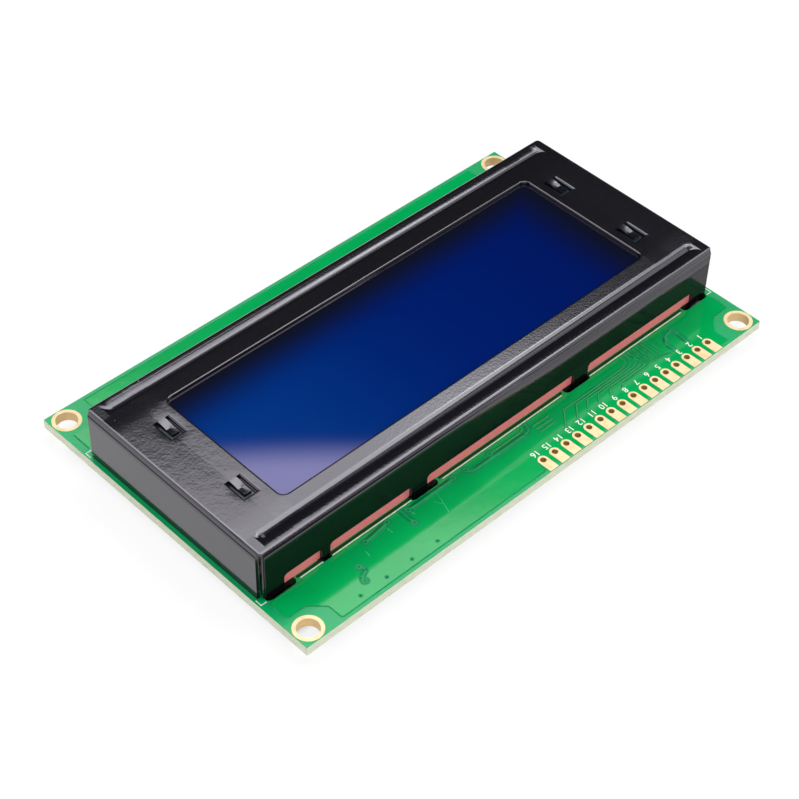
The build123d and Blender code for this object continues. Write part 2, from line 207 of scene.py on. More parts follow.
class Finish:
    """The nodes of one material, on the piece's own coordinates."""

    def __init__(self, name: str) -> None:
        """Starts an empty material."""
        self.material = bpy.data.materials.new(name)
        self.material.use_nodes = True
        self.material.node_tree.nodes.clear()
        self.sheet = NodeSheet(self.material.node_tree)
        self._place = self.sheet.node("ShaderNodeTexCoord", output="Object")

    def axis(self, letter: str) -> Value:
        """The place along one axis, in millimetres."""
        parts = self.sheet.node("ShaderNodeSeparateXYZ", feeds={0: self._place}, output=letter)
        return parts * 1000.0

    def facing(self, letter: str) -> Value:
        """The surface normal's part along one axis."""
        normal = self.sheet.node("ShaderNodeNewGeometry", output="Normal")
        return self.sheet.node("ShaderNodeSeparateXYZ", feeds={0: normal}, output=letter)

    def noise(self, size_mm: float, detail: float = 2.0, stretch: Colour = (1.0, 1.0, 1.0)) -> Value:
        """Smooth noise.

        Args:
            size_mm: about how far apart its lumps are.
            detail: how many finer layers it has.
            stretch: how much finer it is along each axis.

        Returns:
            A value round 0.5.
        """
        place = self.sheet.node("ShaderNodeMapping", feeds={"Vector": self._place, "Scale": stretch})
        feeds = {"Vector": place, "Scale": 1000.0 / size_mm, "Detail": detail}
        return self.sheet.node("ShaderNodeTexNoise", feeds=feeds)

    def spots(self, size_mm: float) -> Value:
        """The distance from the nearest of many scattered points, in cells."""
        feeds = {"Vector": self._place, "Scale": 1000.0 / size_mm}
        return self.sheet.node("ShaderNodeTexVoronoi", feeds=feeds)

    def mix(self, share: Operand, first: Feed, second: Feed) -> Value:
        """Mixes two colours: the first where share is 0, the second where it is 1."""
        settings = {"data_type": "RGBA", "clamp_factor": True}
        return self.sheet.node("ShaderNodeMix", settings, {0: share, 6: first, 7: second}, output=2)

    def bump(self, height_mm: Value, strength: float = 1.0) -> Value:
        """A normal bumped by a height in millimetres, of which strength is the share that shows."""
        feeds = {"Height": height_mm, "Strength": strength, "Distance": MM}
        return self.sheet.node("ShaderNodeBump", feeds=feeds)

    def principled(self, **feeds: Feed) -> Value:
        """One Principled surface, with underscores for the spaces of its sockets' names."""
        named = {key.replace("_", " "): value for key, value in feeds.items()}
        return self.sheet.node("ShaderNodeBsdfPrincipled", feeds=named)

    def blend(self, share: Value, first: Value, second: Value) -> Value:
        """Blends two surfaces: the first where share is 0, the second where it is 1."""
        return self.sheet.node("ShaderNodeMixShader", feeds={0: share, 1: first, 2: second})

    def end(self, surface: Value) -> Material:
        """Ends the material with a surface, and returns it."""
        self.sheet.node("ShaderNodeOutputMaterial", feeds={"Surface": surface})
        return self.material

    def surface(self, **feeds: Feed) -> Material:
        """Ends the material with one Principled surface, and returns it."""
        return self.end(self.principled(**feeds))


@dataclass(frozen=True)
class SolderMask:
    """Green mask on the board: glossy over copper, dull over bare laminate, raw at the outer cut edges,
    and painted near black on the walls of its slots and holes as painted shade.
    """

    copper: Colour = (0.0, 0.395, 0.092)
    clouded: Colour = (0.0, 0.365, 0.084)
    bare: Colour = (0.0, 0.36, 0.115)
    raw_edge: Colour = (0.66, 0.68, 0.54)
    raw_edge_dark: Colour = (0.54, 0.57, 0.42)
    # painted shade: the near-black walls of the slots and holes inside the board's outline
    shaded_slot_wall: Colour = (0.015, 0.03, 0.015)
    half_l: float = 49.0
    half_w: float = 30.0
    pour_half_l: float = 47.6
    pour_half_w: float = 29.3
    corner_x: float = 41.8
    corner_y: float = 24.25
    corner_cut: float = 68.35
    border_soft: float = 0.1
    edge_near: float = 0.05
    bow: float = 0.02

    def material(self) -> Material:
        """Builds the board's material."""
        f = Finish("solder_mask")
        x, y = abs(f.axis("X")), abs(f.axis("Y"))
        wall = abs(f.facing("Z")) < 0.5
        half = self.border_soft / 2
        at_hole = x.ramp(self.corner_x - half, self.corner_x + half)
        at_hole = at_hole * y.ramp(self.corner_y - half, self.corner_y + half)
        at_hole = at_hole * (x + y).ramp(self.corner_cut - half, self.corner_cut + half)
        rim = x.ramp(self.pour_half_l, self.pour_half_l + self.border_soft)
        rim = rim.either(y.ramp(self.pour_half_w, self.pour_half_w + self.border_soft))
        no_copper = at_hole.either(rim)
        cloud, grain, weave = f.noise(9.0, 3.0), f.noise(0.5, 2.0), f.noise(1.4, 1.0)
        green = f.mix(cloud.ramp(0.35, 0.65), self.copper, self.clouded)
        green = f.mix(no_copper, green, self.bare)
        fibre = f.noise(0.35, 2.0, (0.2, 0.2, 4.0))
        edge = f.mix(fibre.ramp(0.4, 0.6), self.raw_edge, self.raw_edge_dark)
        outside = (x > self.half_l - self.edge_near).either(y > self.half_w - self.edge_near)
        # painted shade: inside the outline the slots' and holes' walls take the near-black colour, while
        # the outer edges stay raw
        edge = f.mix(outside, self.shaded_slot_wall, edge)
        return f.surface(
            Base_Color=f.mix(wall, green, edge),
            Roughness=0.06 + 0.04 * grain + 0.18 * no_copper + 0.8 * wall * (1.0 - 0.6 * outside),
            Specular_IOR_Level=0.42,
            Normal=f.bump(y * self.bow + weave * 0.005 + grain * (0.0006 + 0.004 * no_copper)),
        )


@dataclass(frozen=True)
class TrackMask:
    """A tone of the mask: where it lies over a track or sinks into the gap beside one, and the painted
    shade of via holes and of the strips along the bezel's long walls.
    """

    name: str
    colour: Colour
    other: Colour

    def material(self) -> Material:
        """Builds one shade of the mask."""
        f = Finish(self.name)
        cloud = f.noise(3.0, 2.0)
        return f.surface(
            Base_Color=f.mix(cloud.ramp(0.35, 0.65), self.colour, self.other),
            Roughness=0.38 + 0.15 * cloud,
            Specular_IOR_Level=0.22,
        )


@dataclass(frozen=True)
class PaintShape:
    """Where shading helps the bezel's form, in millimetres: a fall is a slope, a curve is a curvature."""

    window_r: float = 1.2
    lip: float = 0.32
    lip_soft: float = 0.08
    lip_far: float = 9.0
    soft_along: float = 0.2
    soft_at_end: float = 2.0
    soft_run: float = 1.5
    long_fall: float = 0.042
    long_reach: float = 2.8
    end_fall: float = 0.0145
    end_reach: float = 3.6
    hole_x: float = 41.25
    hole_y: float = 8.0
    hole_shift: float = 0.25
    hole_share: float = 1.35
    hole_reach: float = 2.9
    hole_curve: float = 0.011
    groove_y: float = 17.0
    groove_half_l: float = 46.0
    groove_end: float = 1.2
    near_run: float = 1.5
    near_curve: float = 0.2
    far_run: float = 0.5
    far_curve: float = 0.55
    far_tail_run: float = 0.8
    far_tail_fall: float = 0.06
    round_from_z: float = 11.0
    bulge_from_z: float = 9.6
    bulge_ends_x: float = 14.0
    bulge_rise: float = 2.3
    bulge_curve: float = 0.12
    round_curve: float = 0.08

    def dish(self, x: Value, y: Value) -> Value:
        """How the plate falls away from the window and towards the tongues' holes."""
        past_end = abs(x) - WINDOW_HALF_L
        at_end = abs(x).ramp(WINDOW_HALF_L, WINDOW_HALF_L + self.soft_run)
        soft = at_end * (self.soft_at_end - self.soft_along) + self.soft_along
        beside = (abs(y) - WINDOW_HALF_W).maths("SMOOTH_MAX", 0.0, soft)
        fall = beside.within(0.0, self.long_reach) * -self.long_fall
        fall = fall + past_end.within(0.0, self.end_reach) * -self.end_fall
        from_x = abs(x) - self.hole_x
        from_y = (abs(y + self.hole_shift) - self.hole_y) * (1.0 / self.hole_share)
        near = (self.hole_reach - from_x.across(from_y)).within(0.0, self.hole_reach)
        return fall - near * near * self.hole_curve

    def groove(self, x: Value, y: Value) -> Value:
        """How much deeper the pressed grooves look than the arcs of the sheet."""
        middle, turn = self.groove_y, self.groove_y + self.far_run
        near = (y - (middle - self.near_run)).within(0.0, self.near_run)
        steep = (turn + y).within(0.0, self.far_run)
        tail = (-turn - y).within(0.0, self.far_tail_run)
        far = (steep * steep * self.far_curve + tail * self.far_tail_fall) * (y < -middle)
        inside = 1.0 - abs(x).ramp(self.groove_half_l - self.groove_end, self.groove_half_l)
        return (near * near * (y < middle) * self.near_curve + far) * inside * -1.0

    def bulge_from(self, x: Value) -> tuple[Value, Value]:
        """Where the long walls start to bulge, in z, and how plain they are there, from 0 to 1."""
        plain = x.ramp(-self.bulge_ends_x, self.bulge_ends_x)
        return self.bulge_from_z + plain * (self.round_from_z - self.bulge_from_z), plain

    def bulge(self, z: Value, start: Value, plain: Value) -> Value:
        """How the walls round over towards the plate."""
        over = (z - start).within(0.0, self.bulge_rise)
        return over * over * (self.bulge_curve - (self.bulge_curve - self.round_curve) * plain)

    def near_lip(self, x: Value, y: Value) -> Value:
        """One on the window's rounded rim, along the two sides that lean away from the light, where a
        painted dark line goes.
        """
        flat_l, flat_w = WINDOW_HALF_L - self.window_r, WINDOW_HALF_W - self.window_r
        past_x = (abs(x) - flat_l).within(0.0, self.lip_far)
        past_y = (abs(y) - flat_w).within(0.0, self.lip_far)
        away = past_x.across(past_y) - self.window_r
        near = (x > flat_l).either(y > flat_w) * (x > -WINDOW_HALF_L) * (y > -WINDOW_HALF_W)
        half = self.lip_soft / 2
        return near * (1.0 - away.ramp(self.lip - half, self.lip + half))


@dataclass(frozen=True)
class BlackPaint:
    """Semi-gloss black paint with orange peel, with painted shade: a darker, duller copy on the lower
    long walls, and dull near-black lines where the +X end's bend meets its wall and along the window's
    near rim.
    """

    # painted shade: the near-black of the shaded walls and of the dark lines
    painted_shade_black: Colour = (0.004, 0.004, 0.005)
    colour: Colour = (0.0065, 0.0065, 0.009)
    worn: Colour = (0.011, 0.0105, 0.0135)
    dust: Colour = (0.5, 0.5, 0.5)
    tint: Tint = (0.93, 0.90, 1.0, 1.0)
    peel_from_x: float = 37.0
    shape: PaintShape = PaintShape()

    def material(self) -> Material:
        """Builds the bezel's material."""
        f = Finish("black_paint")
        x, y, z = (f.axis(letter) for letter in "XYZ")
        top = f.facing("Z") > 0.8
        peel, coarse, fine = f.noise(0.42, 2.0), f.noise(1.2, 1.5), f.noise(0.2, 1.0)
        on_end = x.ramp(self.peel_from_x, self.peel_from_x + 2.5)
        height = (self.shape.dish(x, y) + self.shape.groove(x, y)) * top
        height = height + peel * 0.0065 + coarse * (0.001 + 0.008 * on_end)
        round_from, plain = self.shape.bulge_from(x)
        height = height - self.shape.bulge(z, round_from, plain) * (1.0 - top)
        specks = (1.0 - f.spots(2.6).ramp(0.025, 0.04)) * (f.noise(6.0, 1.0) > 0.57)
        paint = f.mix(peel.ramp(0.5, 0.8), self.colour, self.worn)
        paint = f.mix(specks * 0.6, paint, self.dust)
        shared = {"Roughness": 0.09 + 0.06 * fine + 0.3 * specks, "Normal": f.bump(height)}
        glossy = f.principled(Base_Color=paint, IOR=1.75, Specular_Tint=self.tint, **shared)
        # painted shade: the long walls facing ±Y below their rounding get a darker, less reflective copy
        # of the paint
        shaded_wall_paint = f.principled(Base_Color=self.painted_shade_black, IOR=1.27, **shared)
        # painted shade: a dull near-black surface for the dark lines
        bare = f.principled(Base_Color=self.painted_shade_black, Roughness=0.5, IOR=1.2)
        low = 1.0 - z.ramp(round_from + 0.2, round_from + 0.9)
        surface = f.blend(abs(f.facing("Y")).ramp(0.8, 0.97) * low, glossy, shaded_wall_paint)
        # painted shade: dark lines where the +X end's bend meets its wall and along the window's near rim
        foot = f.facing("X").band(0.93, 0.994, 0.012)
        dark = foot.either(self.shape.near_lip(x, y) * (f.facing("Z") > 0.3))
        return f.end(f.blend(dark, surface, bare))


@dataclass(frozen=True)
class BlueWindow:
    """The dark blue polarizing film over the cell, with painted light brighter towards +X and dimmer
    towards −X and −Y, and painted shade along its far side and at both ends, where the bezel's rim shades
    it.
    """

    # painted light: bright, middle and dim blues of one film, lit more towards +X
    bright: Colour = (0.0005, 0.030, 0.19)
    middle: Colour = (0.0, 0.0115, 0.129)
    dim: Colour = (0.0, 0.0062, 0.094)
    # painted shade: the near-black blue where the bezel shades the film
    rim: Colour = (0.004, 0.0055, 0.013)
    tint: Tint = (1.0, 0.80, 1.0, 1.0)
    dust: Colour = (0.3, 0.36, 0.6)

    def material(self) -> Material:
        """Builds the window's material."""
        f = Finish("blue_window")
        x, y = f.axis("X"), f.axis("Y")
        # painted light: the blue brightens towards +X and dims towards −X and −Y
        blue = f.mix(x.ramp(-42.0, 4.0), self.dim, self.middle)
        blue = f.mix(x.ramp(-4.0, 36.0), blue, self.bright)
        blue = f.mix((1.0 - y.ramp(-12.0, -1.0)) * 0.5, blue, self.dim)
        # painted shade along the far side, at the −X end, and at the +X end under the plate
        far_shade = 1.0 - y.ramp(-WINDOW_HALF_W + 0.1, -WINDOW_HALF_W + 8.4)
        end_shade = 1.0 - x.ramp(-WINDOW_HALF_L - 0.2, -WINDOW_HALF_L + 11.0)
        near_end = x.ramp(WINDOW_HALF_L, WINDOW_HALF_L + 0.6)
        blue = f.mix(far_shade.either(end_shade).either(near_end), blue, self.rim)
        specks = (1.0 - f.spots(3.4).ramp(0.016, 0.026)) * (f.noise(7.0, 1.0) > 0.6)
        return f.surface(
            Base_Color=f.mix(specks * 0.5, blue, self.dust),
            Roughness=0.02 + 0.02 * f.noise(30.0, 1.0),
            IOR=1.67,
            Specular_Tint=self.tint,
        )


@dataclass(frozen=True)
class PinkRubber:
    """Silicone rubber strip with the fine lines of its conducting layers."""

    colour: Colour = (0.97, 0.27, 0.28)
    line: Colour = (0.88, 0.21, 0.22)
    pitch: float = 0.18

    def material(self) -> Material:
        """Builds the strips' material."""
        f = Finish("pink_rubber")
        x = f.axis("X")
        stripe = (x * (1.0 / self.pitch)).maths("FRACT").ramp(0.55, 0.8)
        cloud = f.noise(2.5, 3.0)
        tint = f.mix(stripe * 0.25 + 0.35 * cloud, self.colour, self.line)
        return f.surface(
            Base_Color=tint,
            Roughness=0.55 + 0.2 * cloud,
            Specular_IOR_Level=0.25,
            Normal=f.bump(f.noise(0.3, 2.0) * 0.02, 0.5),
        )


@dataclass(frozen=True)
class Metal:
    """Plated or tinned metal: a soft sheen with slight tarnish."""

    name: str
    colour: Colour
    tarnish: Colour
    roughness: float
    metallic: float = 1.0
    grain_mm: float = 0.4

    def material(self) -> Material:
        """Builds the metal."""
        f = Finish(self.name)
        cloud = f.noise(self.grain_mm * 3.0, 3.0)
        grain = f.noise(self.grain_mm, 2.0)
        return f.surface(
            Base_Color=f.mix(cloud.ramp(0.45, 0.75), self.colour, self.tarnish),
            Roughness=self.roughness + 0.2 * grain,
            Metallic=self.metallic,
            Normal=f.bump(grain * 0.01, 0.5),
        )


@dataclass(frozen=True)
class GoldPlating:
    """Thin gold over copper: pale on the flat, deeper in the holes."""

    name: str
    flat: Colour = (0.78, 0.63, 0.37)
    rubbed: Colour = (0.72, 0.54, 0.28)
    in_hole: Colour = (0.78, 0.56, 0.28)

    def material(self) -> Material:
        """Builds the plating."""
        f = Finish(self.name)
        wall = abs(f.facing("Z")) < 0.5
        cloud, grain = f.noise(1.6, 3.0), f.noise(0.4, 2.0)
        return f.surface(
            Base_Color=f.mix(wall, f.mix(cloud.ramp(0.42, 0.7), self.flat, self.rubbed), self.in_hole),
            Roughness=0.36 + 0.15 * grain,
            Metallic=0.3,
            Normal=f.bump(grain * 0.008, 0.5),
        )


@dataclass(frozen=True)
class Plain:
    """A moulded, printed or cast surface with a little mottling and a fine grain."""

    name: str
    colour: Colour
    other: Colour
    roughness: float
    mottle_mm: float = 1.5
    grain_mm: float = 0.3
    grain_height: float = 0.004

    def material(self) -> Material:
        """Builds the surface."""
        f = Finish(self.name)
        cloud = f.noise(self.mottle_mm, 3.0)
        grain = f.noise(self.grain_mm, 2.0)
        return f.surface(
            Base_Color=f.mix(cloud.ramp(0.35, 0.7), self.colour, self.other),
            Roughness=self.roughness + 0.15 * grain,
            Normal=f.bump(grain * self.grain_height, 0.6),
        )


@dataclass(frozen=True)
class CellGlass:
    """Sheet glass seen at its cut edge, with the dark rear film behind it."""

    colour: Colour = (0.015, 0.03, 0.05)
    edge: Colour = (0.10, 0.22, 0.20)

    def material(self) -> Material:
        """Builds the glass."""
        f = Finish("cell_glass")
        cut = abs(f.facing("Z")) < 0.5
        cloud = f.noise(4.0, 2.0)
        return f.surface(
            Base_Color=f.mix(cut, self.colour, self.edge),
            Roughness=0.06 + 0.1 * cloud + 0.2 * cut,
            IOR=1.5,
        )


def in_scene(name: str, data: bpy.types.ID) -> bpy.types.Object:
    """Makes an object at the origin and puts it in the scene."""
    made = bpy.data.objects.new(name, data)
    bpy.context.scene.collection.objects.link(made)
    return made


def evaluated_mesh(holder: bpy.types.Object) -> bpy.types.Mesh:
    """The plain mesh that an object gives once its curve or its modifiers have run."""
    bpy.context.view_layer.update()
    graph = bpy.context.evaluated_depsgraph_get()
    return bpy.data.meshes.new_from_object(holder.evaluated_get(graph))


def finished(piece: bpy.types.Object, material: Material) -> bpy.types.Object:
    """Dresses a piece and fixes it to the part.

    Args:
        piece: a mesh object at the origin.
        material: its only material.

    Returns:
        The same piece.
    """
    piece.data.materials.clear()
    piece.data.materials.append(material)
    for polygon in piece.data.polygons:
        polygon.material_index = 0
    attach(piece, BODY)
    LOG.info("%s: %d faces", piece.name, len(piece.data.polygons))
    return piece


def mesh_piece(name: str, shape: bmesh.types.BMesh) -> bpy.types.Object:
    """Makes an object at the origin from a bmesh, and frees the bmesh."""
    mesh = bpy.data.meshes.new(name)
    shape.to_mesh(mesh)
    shape.free()
    return in_scene(name, mesh)


def dress(frame: dict, nodes: Iterable[str], material: Material) -> None:
    """Gives CAD nodes one material."""
    for name in nodes:
        mesh = frame["nodes"][name].data
        mesh.materials.clear()
        mesh.materials.append(material)
        LOG.info("%s: dressed as %s", name, material.name)


class Recipe:
    """A Geometry Nodes tree with named inputs, run once on a carrier and left as a plain mesh."""

    def __init__(self, name: str) -> None:
        """Starts a tree that takes and gives geometry."""
        self.tree = bpy.data.node_groups.new(name, "GeometryNodeTree")
        self.sheet = NodeSheet(self.tree)
        for end in ("INPUT", "OUTPUT"):
            self.tree.interface.new_socket("Geometry", in_out=end, socket_type="NodeSocketGeometry")
        self._entry = self.tree.nodes.new("NodeGroupInput")

    def geometry(self) -> Value:
        """The carrier's own geometry."""
        return Value(self.sheet, self._entry.outputs["Geometry"])

    def size(self, name: str) -> Value:
        """Adds one named size as an input of the tree."""
        self.tree.interface.new_socket(name, in_out="INPUT", socket_type="NodeSocketFloat")
        return Value(self.sheet, self._entry.outputs[name])

    def discs(self, radius: Value, depth: Value, sides: int) -> Value:
        """A flat disc on each point of the carrier."""
        feeds = {"Vertices": sides, "Radius": radius, "Depth": depth}
        disc = self.sheet.node("GeometryNodeMeshCylinder", feeds=feeds)
        feeds = {"Points": self.geometry(), "Instance": disc}
        return self.sheet.node("GeometryNodeInstanceOnPoints", feeds=feeds)

    def end(self, result: Value, material: Material) -> None:
        """Ends the tree with real geometry in one material."""
        real = self.sheet.node("GeometryNodeRealizeInstances", feeds={0: result})
        feeds = {"Geometry": real, "Material": material}
        painted = self.sheet.node("GeometryNodeSetMaterial", feeds=feeds)
        self.sheet.node("NodeGroupOutput", feeds={"Geometry": painted})

    def run(self, carrier: bpy.types.Object, name: str, sizes: dict[str, float]) -> bpy.types.Object:
        """Runs the tree on a carrier and removes the carrier.

        Args:
            carrier: a curve or mesh object at the origin.
            name: the new piece's name.
            sizes: the tree's named inputs, in metres.

        Returns:
            A plain mesh object.
        """
        modifier = carrier.modifiers.new(self.tree.name, "NODES")
        modifier.node_group = self.tree
        for item in self.tree.interface.items_tree:
            if item.in_out == "INPUT" and item.name in sizes:
                modifier[item.identifier] = sizes[item.name]
        mesh = evaluated_mesh(carrier)
        mesh.name = name
        bpy.data.objects.remove(carrier)
        return in_scene(name, mesh)


def route_carrier(routes: Sequence[Sequence[Point]], z: float) -> bpy.types.Object:
    """A curve object with one poly spline for each route.

    Args:
        routes: points in millimetres in plan.
        z: their height in metres.

    Returns:
        The curve object, at the origin.
    """
    curve = bpy.data.curves.new("routes", "CURVE")
    curve.dimensions = "3D"
    for route in routes:
        spline = curve.splines.new("POLY")
        spline.points.add(len(route) - 1)
        for place, (x, y) in zip(spline.points, route):
            place.co = (x * MM, y * MM, z, 1.0)
    return in_scene("routes", curve)


def point_carrier(points: Sequence[Point], z: float) -> bpy.types.Object:
    """A mesh object with a vertex at each point, given in millimetres in plan."""
    shape = bmesh.new()
    for x, y in points:
        shape.verts.new((x * MM, y * MM, z))
    return mesh_piece("points", shape)


def ribbon_recipe(material: Material) -> Recipe:
    """Flat ribbons along routes, round at each point, for tracks and printed lines.

    Args:
        material: what the ribbons are made of.

    Returns:
        A recipe with the inputs Width and Thickness.
    """
    recipe = Recipe("ribbons_" + material.name)
    width, thickness = recipe.size("Width"), recipe.size("Thickness")
    sheet = recipe.sheet
    upright = sheet.node("GeometryNodeSetCurveNormal", {"mode": "Z_UP"}, {0: recipe.geometry()})
    feeds = {"Width": width, "Height": thickness}
    profile = sheet.node("GeometryNodeCurvePrimitiveQuadrilateral", feeds=feeds)
    feeds = {"Curve": upright, "Profile Curve": profile, "Fill Caps": True}
    band = sheet.node("GeometryNodeCurveToMesh", feeds=feeds)
    ends = recipe.discs(width * 0.5, thickness * 1.04, 16)
    joined = sheet.node("GeometryNodeJoinGeometry")
    target = sheet.tree.nodes[-1].inputs[0]
    sheet.tree.links.new(band.socket, target)
    sheet.tree.links.new(ends.socket, target)
    recipe.end(joined, material)
    return recipe


def disc_recipe(material: Material) -> Recipe:
    """A flat disc on each point, for vias and the rings of mask round them.

    Args:
        material: what the discs are made of.

    Returns:
        A recipe with the inputs Radius and Thickness.
    """
    recipe = Recipe("discs_" + material.name)
    radius, thickness = recipe.size("Radius"), recipe.size("Thickness")
    recipe.end(recipe.discs(radius, thickness, 20), material)
    return recipe


class Shade(Enum):
    """What a line or a dot of the artwork is made of, or which painted shade it shows."""

    GAP = "mask_in_gap"
    BORDER = "mask_at_border"
    TRACK = "mask_over_track"
    BRIGHT = "mask_over_bright_track"
    # painted shade: the dark inside of each via's open hole
    HOLE = "via_hole"
    INK = "white_ink"
    SCUFF = "scuffed_mask"
    # painted shadow: near-black mask along the foot of the bezel's long walls
    SHADE = "shaded_mask"

    def material(self) -> Material:
        """Builds the shade's material."""
        if self is Shade.INK:
            ink = Plain(self.value, (0.90, 0.95, 0.86), (0.82, 0.89, 0.80), 0.6, 0.5, 0.15, 0.006)
            return ink.material()
        colours = {
            Shade.GAP: ((0.0, 0.235, 0.085), (0.0, 0.275, 0.10)),
            Shade.BORDER: ((0.0, 0.27, 0.08), (0.0, 0.31, 0.09)),
            Shade.TRACK: ((0.0, 0.36, 0.10), (0.0, 0.40, 0.11)),
            Shade.BRIGHT: ((0.045, 0.44, 0.11), (0.03, 0.40, 0.10)),
            # painted shade of the via holes
            Shade.HOLE: ((0.0, 0.08, 0.035), (0.0, 0.11, 0.05)),
            Shade.SCUFF: ((0.12, 0.56, 0.30), (0.02, 0.44, 0.15)),
            # painted shadow along the bezel's walls
            Shade.SHADE: ((0.0, 0.022, 0.009), (0.0, 0.03, 0.012)),
        }
        return TrackMask(self.value, *colours[self]).material()


@dataclass
class Lines:
    """Routes of one width on the board, in millimetres in plan, and how far they stand over it."""

    name: str
    shade: Shade
    width: float
    top: float
    routes: list[list[Point]]


@dataclass
class Dots:
    """Discs of one size on the board, in millimetres in plan."""

    name: str
    shade: Shade
    radius: float
    top: float
    points: list[Point]


@dataclass
class Artwork:
    """Tracks, vias and printed lines on one face of the board."""

    side: Side
    face_z: float
    layers: list[Union[Lines, Dots]]

    def height(self, over_mm: float) -> float:
        """A height in metres, so far over this face of the board."""
        return self.face_z + self.side.value * over_mm * MM

    def build(self, shades: dict[Shade, Material]) -> None:
        """Builds every layer as one piece.

        Args:
            shades: the material for each shade.
        """
        for layer in self.layers:
            material = shades[layer.shade]
            name = f"{layer.name}_{self.side.name.lower()}"
            z = self.height(layer.top / 2)
            sizes = {"Thickness": layer.top * MM}
            if isinstance(layer, Lines):
                sizes["Width"] = layer.width * MM
                piece = ribbon_recipe(material).run(route_carrier(layer.routes, z), name, sizes)
            else:
                sizes["Radius"] = layer.radius * MM
                piece = disc_recipe(material).run(point_carrier(layer.points, z), name, sizes)
            finished(piece, material)


@dataclass
class PinNumbers:
    """Plain numbers printed beside the header holes, reading with the header row at the top."""

    face_z: float
    first_x: float = -38.9
    count: int = 16
    middle_y: float = 25.75
    font_size: float = 1.54
    bolder: float = 0.01
    ink_h: float = 0.014

    def build(self, ink: Material) -> bpy.types.Object:
        """Builds all the numbers as one piece of ink.

        Args:
            ink: the printing ink.

        Returns:
            The piece.
        """
        shape = bmesh.new()
        for pin in range(self.count):
            text = bpy.data.curves.new("number", "FONT")
            text.body = str(pin + 1)
            text.size = self.font_size * MM
            text.align_x = "CENTER"
            text.align_y = "CENTER"
            text.offset = self.bolder * MM
            text.extrude = self.ink_h * MM / 2
            holder = in_scene("number", text)
            mesh = evaluated_mesh(holder)
            x = (self.first_x + pin * PITCH) * MM
            place = (x, self.middle_y * MM, self.face_z + self.ink_h * MM / 2)
            mesh.transform(Matrix.Translation(place))
            shape.from_mesh(mesh)
            bpy.data.objects.remove(holder)
            bpy.data.meshes.remove(mesh)
        return finished(mesh_piece("pin_numbers", shape), ink)


@dataclass
class EpoxyGlobs:
    """Poured epoxy over the bare chips: low domes with a slightly uneven rim."""

    names: tuple[str, ...] = ("controller_glob", "driver_glob_left", "driver_glob_right")
    rings: int = 12
    spokes: int = 72
    unevenness: float = 0.018
    seed: int = 4

    def build(self, epoxy: Material) -> None:
        """Builds one dome for each glob, in the space its CAD solid holds.

        Args:
            epoxy: the globs' material.
        """
        rng = random.Random(self.seed)
        for name in self.names:
            low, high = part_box(name)
            centre = (low + high) / 2
            radius = (high.x - low.x) / 2
            tall = high.z - low.z
            waves = [
                (rng.randint(2, 5), rng.uniform(0, math.tau), rng.uniform(0.3, 1.0)) for _ in range(3)
            ]
            shape = bmesh.new()
            top = shape.verts.new((centre.x, centre.y, low.z))
            loops = []
            for ring in range(1, self.rings + 1):
                share = ring / self.rings
                loop = []
                for spoke in range(self.spokes):
                    angle = math.tau * spoke / self.spokes
                    wobble = sum(a * math.sin(n * angle + p) for n, p, a in waves) / len(waves)
                    r = radius * share * (1 - self.unevenness * (1 + wobble) * share)
                    drop = tall * self.profile(share)
                    place = (centre.x + r * math.cos(angle), centre.y + r * math.sin(angle), low.z + drop)
                    loop.append(shape.verts.new(place))
                loops.append(loop)
            for spoke in range(self.spokes):
                after = (spoke + 1) % self.spokes
                shape.faces.new((top, loops[0][after], loops[0][spoke]))
                for inner, outer in zip(loops, loops[1:]):
                    shape.faces.new((inner[spoke], inner[after], outer[after], outer[spoke]))
            shape.faces.new(loops[-1])
            bmesh.ops.recalc_face_normals(shape, faces=shape.faces)
            piece = mesh_piece(name.replace("glob", "epoxy"), shape)
            for polygon in piece.data.polygons:
                polygon.use_smooth = len(polygon.vertices) < 5
            finished(piece, epoxy)
            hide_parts(name)

    @staticmethod
    def profile(share: float) -> float:
        """How far the surface has risen from the glob's flat towards the board, from 0 to 1."""
        flat = 0.4
        if share <= flat:
            return 0.0
        along = (share - flat) / (1 - flat)
        return 1 - math.sqrt(max(0.0, 1 - along ** 2.2)) * (1 - 0.28 * along)


@dataclass(frozen=True)
class Panel:
    """One soft panel of the light tent, in degrees: its heading turns from +X towards +Y."""

    heading_from: float
    heading_to: float
    rise_from: float
    rise_to: float
    radiance: float
    side_soft: float = 12.0
    edge_soft: float = 8.0

    def glow(self, heading: Value, rise: Value) -> Value:
        """The light that comes from each direction, for this panel alone."""
        lit = heading.band(self.heading_from, self.heading_to, self.side_soft)
        return lit * rise.band(self.rise_from, self.rise_to, self.edge_soft) * self.radiance


